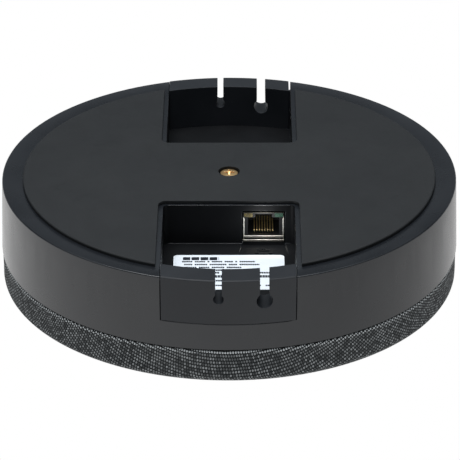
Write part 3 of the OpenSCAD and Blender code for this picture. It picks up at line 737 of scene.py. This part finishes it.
def lathe(profile, steps, closed_profile=True):
    """Spins points of (radius, height) about the vertical axis into a closed bmesh."""
    bm = bmesh.new()
    points = [bm.verts.new((radius, 0.0, height)) for radius, height in profile]
    pairs = list(zip(points, points[1:]))
    if closed_profile:
        pairs.append((points[-1], points[0]))
    for a, b in pairs:
        bm.edges.new((a, b))
    bmesh.ops.spin(
        bm, geom=bm.verts[:] + bm.edges[:], cent=(0, 0, 0), axis=(0, 0, 1), dvec=(0, 0, 0),
        angle=2 * math.pi, steps=steps, use_merge=True, use_duplicate=False)
    bmesh.ops.remove_doubles(bm, verts=bm.verts, dist=0.002 * MM)
    bmesh.ops.recalc_face_normals(bm, faces=bm.faces)
    return bm


def arc_points(centre, radii, start, end, count):
    """Points along an arc of an ellipse, in degrees."""
    made = []
    for index in range(count + 1):
        angle = math.radians(start + (end - start) * index / count)
        made.append((centre[0] + radii[0] * math.cos(angle), centre[1] + radii[1] * math.sin(angle)))
    return made


def add_block(bm, low, high):
    """Adds a plain block between two corners to a bmesh."""
    low, high = Vector(low), Vector(high)
    made = bmesh.ops.create_cube(bm, size=1.0)["verts"]
    bmesh.ops.scale(bm, vec=high - low, verts=made)
    bmesh.ops.translate(bm, vec=(low + high) / 2, verts=made)


def use_materials(nodes):
    """Gives CAD nodes the material of their slot."""
    slots = {part["node"]: part["material_slot"] for part in frame["record"]["subparts"]}
    for name in nodes:
        mesh = frame["nodes"][name].data
        mesh.materials.clear()
        mesh.materials.append(finish_for(slots[name]))


# ---------------------------------------------------------------- operators

class MICROPHONE_OT_housing(bpy.types.Operator):
    """Build the moulded housing with rounded edges"""

    bl_idname = "microphone.housing"
    bl_label = "Housing"

    def execute(self, context):
        bm = merged_copy("base_shell")
        rim_band, shortest = 5 * MM, 0.32 * MM
        inner = SHELL_HIGH.x - rim_band
        seam_z = SHELL_HIGH.z - 0.2 * MM
        floor_z = LABEL_HIGH.z + 0.1 * MM
        side = DOOR_HIGH.x + 0.8 * MM

        def seen(middle, edge):
            outside = middle.xy.length > inner or middle.z < PAD_HIGH.z + 0.2 * MM
            pocket = abs(middle.x) < side and abs(middle.y) > -JACK_HIGH.y and middle.z < floor_z
            return (outside or pocket) and edge.calc_length() > shortest and middle.z < seam_z

        weigh_edges(bm, seen)
        piece = make_piece("housing_shell", bm, "housing_plastic", "housing", "base_shell", smooth_angle=30.0)
        # the pocket walls and floors get the darker copy of the plastic, painted shade in the recess
        piece.data.materials.append(finish_for("pocket"))
        for face in piece.data.polygons:
            x, y, z = face.center
            sunk = PAD_HIGH.z + 1.2 * MM < z < seam_z
            face.material_index = 1 if sunk and abs(x) < side and Vector((x, y)).length < inner else 0
        round_edges(piece, context.scene.microphone_housing.edge_round, 2, by_weight=True)
        return {"FINISHED"}


class MICROPHONE_OT_pad(bpy.types.Operator):
    """Build the rubber pad with its soft cut edge"""

    bl_idname = "microphone.pad"
    bl_label = "Rubber pad"

    def execute(self, context):
        rounded_copy("rubber_pad_sheet", "rubber_pad", "pad_rubber", "housing", 0.18 * MM, 2, angle=30.0)
        return {"FINISHED"}


class MICROPHONE_OT_doors(bpy.types.Operator):
    """Build both cable doors with rounded edges"""

    bl_idname = "microphone.doors"
    bl_label = "Cable doors"

    def execute(self, context):
        width = context.scene.microphone_housing.door_edge_round
        for node, name, body in (
                ("cable_door_front", "front_cable_door", "front_door"),
                ("cable_door_rear", "rear_cable_door", "rear_door")):
            bm = merged_copy(node)
            low, high = corners(node)
            foot = high.z - 4.5 * MM
            near, longer, wider = 0.05 * MM, 0.15 * MM, 0.1 * MM
            for vert in bm.verts:
                if abs(vert.co.z - foot) < near:
                    vert.co.z += longer
                if node == "cable_door_front" and abs(vert.co.x) > high.x - near:
                    vert.co.x += math.copysign(wider, vert.co.x)
            weigh_edges(bm, lambda middle, edge: middle.z < DOOR_HIGH.z - 4.3 * MM)
            if node == "cable_door_rear":
                add_block(bm, (low.x - 0.55 * MM, low.y + 0.25 * MM, low.z + 0.1 * MM),
                          (low.x + 0.05 * MM, low.y + 1.25 * MM, foot))
            piece = make_piece(name, bm, "housing_plastic", body, node, smooth_angle=30.0, finish="door")
            round_edges(piece, width, 2, by_weight=True)
        return {"FINISHED"}


class MICROPHONE_OT_screw(bpy.types.Operator):
    """Build the brass centre screw with a domed head and a tapered cross recess"""

    bl_idname = "microphone.screw"
    bl_label = "Centre screw"

    def execute(self, context):
        head = SCREW_HIGH.x
        face = (SCREW_LOW.z + PAD_LOW.z) / 2 - 0.1 * MM
        seat = SCREW_LOW.z + 2.2 * MM
        dome = 0.3 * MM
        profile = [(0.0, face)]
        for index in range(1, 9):
            share = index / 8
            profile.append((head * 0.9 * share, face + dome * share * share))
        profile += arc_points((head - 0.4 * MM, face + 0.65 * MM), (0.4 * MM, 0.4 * MM), -50, 0, 4)
        shank, tip = 1.75 * MM, 1.2 * MM
        profile += [(head, seat), (shank, seat), (shank, SCREW_HIGH.z - 0.6 * MM),
                    (tip, SCREW_HIGH.z), (0.0, SCREW_HIGH.z)]
        bm = lathe(profile, 48, closed_profile=False)
        half, reach = 0.42 * MM, 2.0 * MM
        for normal in ((1, 0, 0), (0, 1, 0)):
            for offset in (-reach, -half, half, reach):
                bmesh.ops.bisect_plane(
                    bm, geom=bm.verts[:] + bm.edges[:] + bm.faces[:], dist=0.0001 * MM,
                    plane_co=Vector(normal) * offset, plane_no=normal, clear_inner=False, clear_outer=False)
        cross = []
        for item in bm.faces:
            middle = item.calc_center_median()
            x, y = abs(middle.x), abs(middle.y)
            if middle.z < face + dome and item.normal.z < -0.3 and (
                    (x < half and y < reach) or (y < half and x < reach)):
                cross.append(item)
        made = bmesh.ops.extrude_face_region(bm, geom=cross)
        bmesh.ops.delete(bm, geom=[item for item in cross if item.is_valid], context="FACES")
        for vert in (item for item in made["geom"] if isinstance(item, bmesh.types.BMVert)):
            away = vert.co.xy.length / reach
            vert.co.z = face + (1.5 - 0.75 * min(1.0, away)) * MM
            vert.co.x *= 0.9
            vert.co.y *= 0.9
        bmesh.ops.remove_doubles(bm, verts=bm.verts, dist=0.001 * MM)
        bmesh.ops.recalc_face_normals(bm, faces=bm.faces)
        piece = make_piece("centre_screw_head", bm, "screw_brass",
                           "housing", "centre_screw", smooth_angle=30.0)
        round_edges(piece, 0.05 * MM, 2, angle=35.0)
        return {"FINISHED"}


class MICROPHONE_OT_label(bpy.types.Operator):
    """Build the label film and its map for the printed dashes"""

    bl_idname = "microphone.label"
    bl_label = "Label"

    def execute(self, context):
        bm = bmesh.new()
        size = LABEL_HIGH - LABEL_LOW
        centre = (LABEL_LOW + LABEL_HIGH) / 2
        bmesh.ops.create_cube(bm, size=1.0)
        bmesh.ops.scale(bm, vec=size, verts=bm.verts)
        bmesh.ops.translate(bm, vec=centre, verts=bm.verts)
        upright = [edge for edge in bm.edges if abs(edge.verts[0].co.z - edge.verts[1].co.z) > size.z / 2]
        bmesh.ops.bevel(bm, geom=upright, offset=1.6 * MM, offset_type="OFFSET", segments=8, profile=0.5,
                        affect="EDGES", clamp_overlap=True, material=-1)
        long_edges = [edge for edge in bm.edges if edge.calc_length() > 5 * MM]
        bmesh.ops.subdivide_edges(bm, edges=long_edges, cuts=6, use_grid_fill=True)
        layer = bm.loops.layers.uv.new("print")
        for item in bm.faces:
            for loop in item.loops:
                co = loop.vert.co
                loop[layer].uv = ((LABEL_HIGH.x - co.x) / size.x, (LABEL_HIGH.y - co.y) / size.y)
        make_piece("rating_label_film", bm, "label_film", "housing", "rating_label")
        return {"FINISHED"}


class MICROPHONE_OT_jack(bpy.types.Operator):
    """Build the network jack's folded shell and its body"""

    bl_idname = "microphone.jack"
    bl_label = "Network jack"

    def execute(self, context):
        bm = merged_copy("jack_shell")
        left, right, front, top = JACK_LOW.x, JACK_HIGH.x, JACK_LOW.y, JACK_LOW.z
        inset, flange = 0.1 * MM, 0.6 * MM
        add_block(bm, (left + inset, front - 0.15 * MM, top + 10.0 * MM),
                  (right - inset, front + 0.5 * MM, top + 10.8 * MM))
        add_block(bm, (left, front - 0.1 * MM, top + 11.7 * MM), (right, front + 0.3 * MM, top + 12.5 * MM))
        for side in (left, right - flange):
            add_block(bm, (side, front - 0.05 * MM, top + 2.7 * MM),
                      (side + flange, front + 0.3 * MM, top + 10.2 * MM))
        shell = make_piece("jack_metal_shell", bm, "jack_metal", "housing", "jack_shell")
        round_edges(shell, 0.1 * MM, 2)
        rounded_copy("jack_plastic_body", "jack_insert", "black_plastic", "housing", 0.08 * MM, 1,
                     smooth_angle=35.0, flat_angle=0)
        use_materials(["jack_contacts", "jack_lamp_yellow", "jack_lamp_green"])
        return {"FINISHED"}


class MICROPHONE_OT_cloth(bpy.types.Operator):
    """Build the woven cover drawn over the grille, with its hem tucked into the seam"""

    bl_idname = "microphone.cloth"
    bl_label = "Fabric cover"

    def execute(self, context):
        fabric = context.scene.microphone_fabric
        outer, low, top = COVER_HIGH.x, COVER_LOW.z, COVER_HIGH.z
        thick = top - FRAME_HIGH.z
        hole = min(RING_HIGH.x, 17.2 * MM)
        corner_w, corner_h, corner_run = cloth_corner()
        hem = 0.55 * MM
        outside = [(outer - 0.7 * MM, low)]
        outside += arc_points((outer - hem, low + hem), (hem, hem), -80, 0, 5)
        wall_top = top - corner_h
        outside += [(outer, low + hem + (wall_top - low - hem) * index / 8) for index in range(1, 8)]
        outside += arc_points((outer - corner_w, wall_top), (corner_w, corner_h), 0, 90, 20)
        flat_end = outer - corner_w
        outside += [(flat_end + (hole - flat_end) * index / 30, top) for index in range(1, 31)]
        inner_w, inner_h = corner_w - thick, corner_h - thick
        inner = [(hole, top - thick), (flat_end, top - thick)]
        inner += arc_points((outer - corner_w, wall_top), (inner_w, inner_h), 88, 0, 8)
        inner += [(outer - thick, low)]
        bm = lathe(outside + inner, fabric.steps)
        run = [0.0]
        flat = list(reversed(outside))
        for a, b in zip(flat, flat[1:]):
            run.append(run[-1] + math.hypot(b[0] - a[0], b[1] - a[1]))
        layer = bm.loops.layers.uv.new("cloth")

        def unrolled(co):
            radius = co.xy.length
            if co.z > top - 0.01 * MM:
                return radius
            if radius < outer - 0.01 * MM and co.z > wall_top:
                angle = math.atan2((co.z - wall_top) / corner_h, (radius - flat_end) / corner_w)
                share = 1 - angle / (math.pi / 2)
                return flat_end + corner_run * max(0.0, share)
            return flat_end + corner_run + max(0.0, wall_top - co.z)

        for item in bm.faces:
            for loop in item.loops:
                co = loop.vert.co
                reach = unrolled(co)
                radius = max(co.xy.length, 0.001 * MM)
                loop[layer].uv = (co.x / radius * reach, co.y / radius * reach)
        for vert in bm.verts:
            radius = vert.co.xy.length
            if radius < 1 * MM:
                continue
            angle = math.atan2(vert.co.y, vert.co.x)
            ripple = 0.03 * MM * math.sin(23 * angle + 900 * vert.co.z) + 0.02 * MM * math.sin(61 * angle + 3)
            side = 1.0 if vert.co.z < wall_top else 0.0
            vert.co.x *= 1 + ripple * side / radius
            vert.co.y *= 1 + ripple * side / radius
        piece = make_piece("fabric_cloth", bm, "acoustic_fabric", "housing", "fabric_cover",
                           smooth_angle=60.0)
        return {"FINISHED"}


class MICROPHONE_OT_button(bpy.types.Operator):
    """Build the mute button, its light ring and the seam ring"""

    bl_idname = "microphone.button"
    bl_label = "Mute button and rings"

    def execute(self, context):
        rounded_copy("mute_button_cap", "mute_button", "button_plastic", "mute_key", 0.12 * MM, 2)
        rounded_copy("light_ring_lens", "light_ring", "light_diffuser", "housing", 0.15 * MM, 3, angle=30.0)
        rounded_copy("seam_ring_band", "seam_ring", "boot_rubber", "housing", 0.08 * MM, 1)
        return {"FINISHED"}


class MICROPHONE_OT_insides(bpy.types.Operator):
    """Give the parts inside the housing their finishes"""

    bl_idname = "microphone.insides"
    bl_label = "Inside parts"

    def execute(self, context):
        shown = [name for name, node in frame["nodes"].items() if not node.hide_render]
        use_materials(shown)
        return {"FINISHED"}


def area_light(name, place, aim, size, power):
    """A soft light that the camera does not see."""
    data = bpy.data.lights.new(name, "AREA")
    data.shape, data.size, data.size_y = "RECTANGLE", size[0], size[1]
    data.energy = power
    made = bpy.data.objects.new(name, data)
    bpy.context.scene.collection.objects.link(made)
    made.location = place
    made.rotation_euler = (Vector(aim) - Vector(place)).to_track_quat("-Z", "Y").to_euler()
    made.visible_camera = False


class MICROPHONE_OT_stage(bpy.types.Operator):
    """Build the floor, the backdrop, the lights and the camera"""

    bl_idname = "microphone.stage"
    bl_label = "Stage"

    def execute(self, context):
        stage = context.scene.microphone_stage
        scene = context.scene
        bm = bmesh.new()
        half_floor = 6.0
        bmesh.ops.create_grid(bm, x_segments=1, y_segments=1, size=half_floor)
        mesh = bpy.data.meshes.new("floor")
        bm.to_mesh(mesh)
        bm.free()
        floor = bpy.data.objects.new("floor", mesh)
        scene.collection.objects.link(floor)
        material, tree, shader, place = start_material("floor paper")
        shader.inputs["Base Color"].default_value = (0.86, 0.86, 0.86, 1)
        shader.inputs["Roughness"].default_value = 0.9
        clear = tree.nodes.new("ShaderNodeBsdfTransparent")
        mix = tree.nodes.new("ShaderNodeMixShader")
        geometry = tree.nodes.new("ShaderNodeNewGeometry")
        plug(tree, geometry.outputs["Backfacing"], mix.inputs[0])
        plug(tree, shader.outputs[0], mix.inputs[1])
        plug(tree, clear.outputs[0], mix.inputs[2])
        plug(tree, mix.outputs[0], tree.nodes["Material Output"].inputs["Surface"])
        mesh.materials.append(material)
        floor.visible_diffuse = floor.visible_glossy = False
        floor.visible_shadow = floor.visible_transmission = False

        world = bpy.data.worlds.new("backdrop")
        scene.world = world
        world.use_nodes = True
        tree = world.node_tree
        background = tree.nodes["Background"]
        sight = tree.nodes.new("ShaderNodeLightPath")
        toward = split_node(tree, tree.nodes.new("ShaderNodeTexCoord").outputs["Generated"])
        height = toward["Z"]
        table = range_node(tree, height, -0.1, 0.15, smooth=True)
        leaning = range_node(tree, toward["X"], -0.8, 0.8, stage.fill * 1.1, stage.fill * 1.45)
        table_glow = times(tree, table, leaning)
        tent_glow = range_node(tree, height, -0.64, -0.9, stage.dark_band, stage.fill * 1.2, smooth=True)
        screen_top = range_node(tree, height, -0.44, -0.38, smooth=True)
        screen_side = range_node(tree, toward["Y"], 0.3, 0.6, 0.0, 0.42, smooth=True)
        screen_glow = times(tree, screen_top, screen_side)
        around = math_node(tree, "MAXIMUM", math_node(tree, "MAXIMUM", table_glow, tent_glow), screen_glow)
        away = math_node(tree, "SUBTRACT", stage.backdrop, around)
        level = plus(tree, times(tree, sight.outputs["Is Camera Ray"], away), around)
        neutral = math_node(tree, "MAXIMUM", sight.outputs["Is Camera Ray"], table)
        tint = colour_mix(tree, neutral, (0.9, 0.99, 1.08, 1), (1, 1, 1, 1))
        plug(tree, tint, background.inputs["Color"])
        plug(tree, level, background.inputs["Strength"])

        centre = (0, 0, 0.02)
        area_light("under_key", (0.1, -0.1, -1.1), centre, (0.8, 0.8), 14.0)
        area_light("top_key", (-0.4, -0.5, 1.2), centre, (0.8, 0.8), 6.0)
        mouth = Vector(((JACK_LOW.x + JACK_HIGH.x) / 2, JACK_LOW.y, JACK_LOW.z + 8 * MM))
        glint_place, glint_aim = mouth + Vector((0, -9.5, -4)) * MM, mouth + Vector((0, 4, 1)) * MM
        area_light("jack_glint", glint_place, glint_aim, (6 * MM, 6 * MM), 0.0018)

        data = bpy.data.cameras.new("camera")
        data.lens, data.sensor_width, data.clip_start, data.clip_end = stage.lens, 36.0, 0.05, 50.0
        camera = bpy.data.objects.new("camera", data)
        scene.collection.objects.link(camera)
        # place, aim, roll and lens are a camera fit's answer, rounded
        camera.location = (-0.00473, -0.99275, -0.49687)
        aim = Vector((-0.00027, 0.0, 0.0259))
        forward = aim - camera.location
        side = Vector((-1, 0, 0))
        side = (side - side.project(forward)).normalized()
        upright = Matrix((side, side.cross(forward).normalized(), -forward.normalized())).transposed()
        turn = Quaternion(forward.normalized(), math.radians(0.052))
        camera.rotation_euler = (turn.to_matrix() @ upright).to_euler()
        scene.camera = camera
        scene.view_settings.view_transform = "Standard"
        return {"FINISHED"}


OPERATORS = (
    MICROPHONE_OT_housing, MICROPHONE_OT_pad, MICROPHONE_OT_doors, MICROPHONE_OT_screw, MICROPHONE_OT_label,
    MICROPHONE_OT_jack, MICROPHONE_OT_cloth, MICROPHONE_OT_button, MICROPHONE_OT_insides, MICROPHONE_OT_stage,
)


class MICROPHONE_PT_panel(bpy.types.Panel):
    """Sizes, colours and build buttons in the sidebar"""

    bl_idname = "MICROPHONE_PT_panel"
    bl_label = "Table microphone"
    bl_space_type = "VIEW_3D"
    bl_region_type = "UI"
    bl_category = "Microphone"

    def draw(self, context):
        layout = self.layout
        for group in settings():
            box = layout.box()
            for key in group.__annotations__:
                box.prop(group, key)
        column = layout.column(align=True)
        for operator in OPERATORS:
            column.operator(operator.bl_idname)


GROUPS = {
    "microphone_housing": HousingSettings,
    "microphone_fabric": FabricSettings,
    "microphone_label": LabelSettings,
    "microphone_stage": StageSettings,
}


def register():
    for group in GROUPS.values():
        bpy.utils.register_class(group)
    for name, group in GROUPS.items():
        setattr(bpy.types.Scene, name, PointerProperty(type=group))
    for operator in OPERATORS:
        bpy.utils.register_class(operator)
    bpy.utils.register_class(MICROPHONE_PT_panel)


def unregister():
    bpy.utils.unregister_class(MICROPHONE_PT_panel)
    for operator in reversed(OPERATORS):
        bpy.utils.unregister_class(operator)
    for name, group in GROUPS.items():
        delattr(bpy.types.Scene, name)
        bpy.utils.unregister_class(group)


def main():
    """Builds every piece and the stage."""
    register()
    for operator in OPERATORS:
        family, action = operator.bl_idname.split(".")
        getattr(getattr(bpy.ops, family), action)()


if __name__ == "__main__":
    main()
